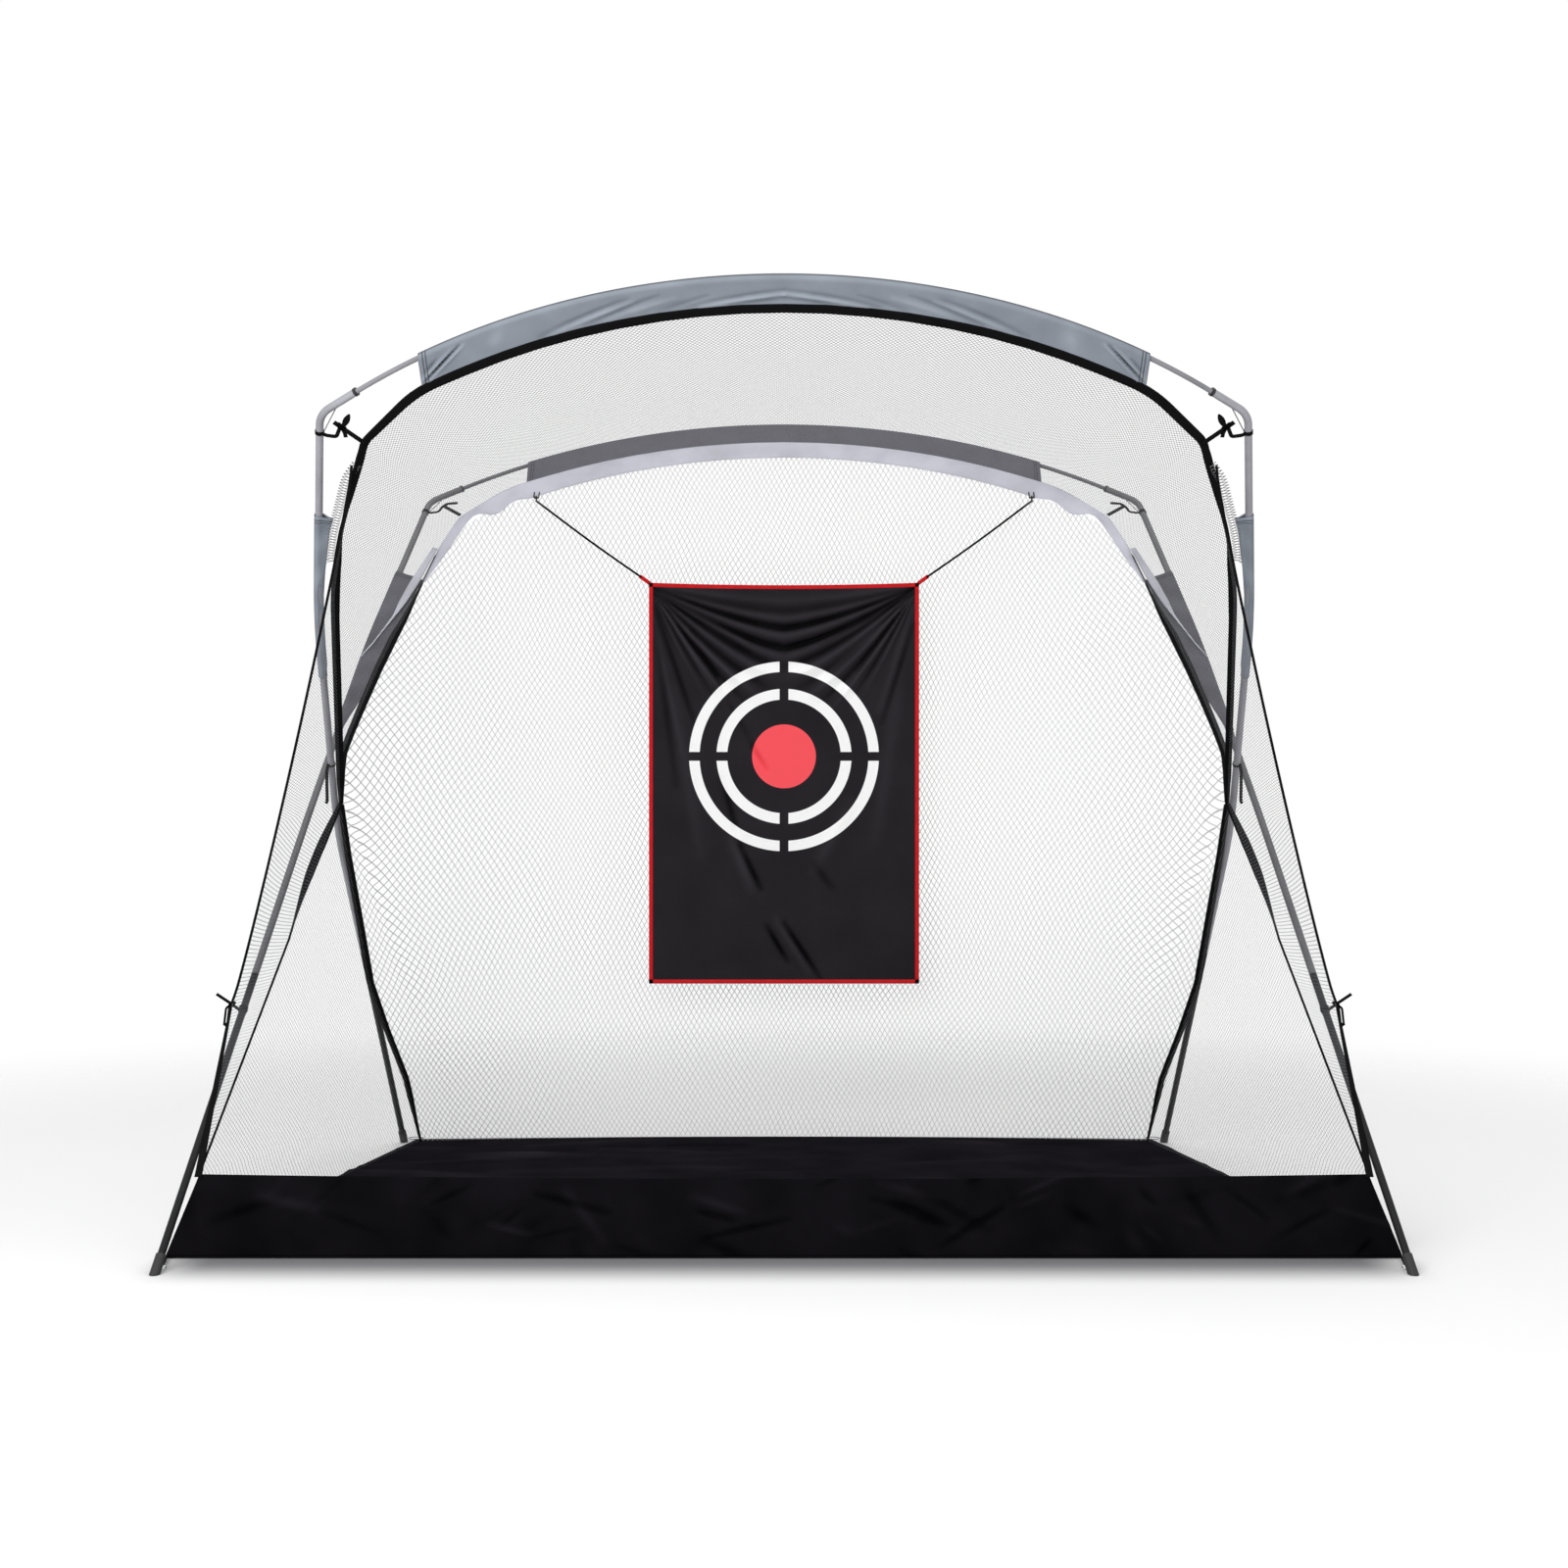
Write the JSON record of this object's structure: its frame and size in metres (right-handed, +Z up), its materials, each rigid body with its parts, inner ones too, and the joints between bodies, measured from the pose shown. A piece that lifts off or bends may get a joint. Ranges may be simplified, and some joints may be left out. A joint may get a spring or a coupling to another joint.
{
  "type": "golf practice net",
  "caption": "Tent-shaped golf practice net: two crossed bow hoops carry a mesh canopy, side wings, a back net, a black floor with a ball stop, and a hanging ring target.",
  "frame": {"origin": "centre of the footprint box at ground height", "axes": "+X to the golfer's right as they look into the net, +Y into the net towards the back, +Z up"},
  "size_m": [3.1, 2.2428, 2.3949],
  "materials": {
    "fibreglass_rod": "satin grey fibreglass",
    "ferrule_steel": "plain",
    "black_plastic": "satin moulded",
    "grey_elastic": "braided elastic",
    "black_tape": "woven tape",
    "black_tube": "satin black coat on steel tube",
    "grey_tube": "satin grey coat on steel tube",
    "foot_rubber": "moulded",
    "ring_chrome": "polished",
    "sleeve_fabric": "plain weave, grey blue",
    "border_fabric": "plain weave, pale grey",
    "red_tape": "woven tape",
    "target_cloth": "plain weave with printed rings",
    "black_cord": "braided",
    "white_net": "knotless netting, open cells",
    "fine_mesh": "fine warp-knit mesh",
    "floor_fabric": "coated weave"
  },
  "bodies": {
    "frame": {"arch_ferrules": "ferrule_steel", "back_net": "white_net", "back_net_border": "border_fabric", "ball_stop": "floor_fabric", "canopy_net": "fine_mesh", "corner_loops": "black_tape", "crossing_tacks": "black_tape", "crossing_ties": "black_tape", "elbow_collars": "black_plastic", "elbow_elastic_cords": "grey_elastic", "elbow_ties": "black_tape", "floor_sheet": "floor_fabric", "foot_caps": "foot_rubber", "front_arch_sleeve": "sleeve_fabric", "front_edge_binding": "black_tape", "front_hoop_arch_rod_left": "fibreglass_rod", "front_hoop_arch_rod_middle": "fibreglass_rod", "front_hoop_arch_rod_right": "fibreglass_rod", "front_hoop_elbow_left": "grey_tube", "front_hoop_elbow_right": "grey_tube", "front_hoop_lower_leg_left": "black_tube", "front_hoop_lower_leg_right": "black_tube", "front_hoop_middle_leg_left": "grey_tube", "front_hoop_middle_leg_right": "grey_tube", "front_hoop_upper_leg_left": "grey_tube", "front_hoop_upper_leg_right": "grey_tube", "front_leg_sleeve_left": "sleeve_fabric", "front_leg_sleeve_right": "sleeve_fabric", "hanger_loops": "black_tape", "leg_ties": "black_tape", "lower_edge_bindings": "black_tape", "rear_arch_sleeve": "sleeve_fabric", "rear_hoop_arch_rod_left": "fibreglass_rod", "rear_hoop_arch_rod_middle": "fibreglass_rod", "rear_hoop_arch_rod_right": "fibreglass_rod", "rear_hoop_elbow_left": "grey_tube", "rear_hoop_elbow_right": "grey_tube", "rear_hoop_lower_leg_left": "black_tube", "rear_hoop_lower_leg_right": "black_tube", "rear_hoop_middle_leg_left": "grey_tube", "rear_hoop_middle_leg_right": "grey_tube", "rear_hoop_upper_leg_left": "grey_tube", "rear_hoop_upper_leg_right": "grey_tube", "rear_leg_sleeve_left": "sleeve_fabric", "rear_leg_sleeve_right": "sleeve_fabric", "rear_side_bindings": "black_tape", "side_net_left": "fine_mesh", "side_net_right": "fine_mesh", "stake_rings": "ring_chrome", "wing_edge_tape_left": "black_tape", "wing_edge_tape_right": "black_tape", "wing_net_left": "fine_mesh", "wing_net_right": "fine_mesh"},
    "target": {"target_binding": "red_tape", "target_cloth": "target_cloth", "target_cord_left": "black_cord", "target_cord_right": "black_cord", "target_corner_loops": "black_tape", "target_hook_left": "black_plastic", "target_hook_right": "black_plastic"}
  },
  "joints": [
    {"name": "target_swing", "type": "hinge", "parent": "frame", "child": "target", "pos_m": [0, 0.87189, 2.11973], "axis": [1, 0, 0], "range_deg": [-30, 6]}
  ]
}
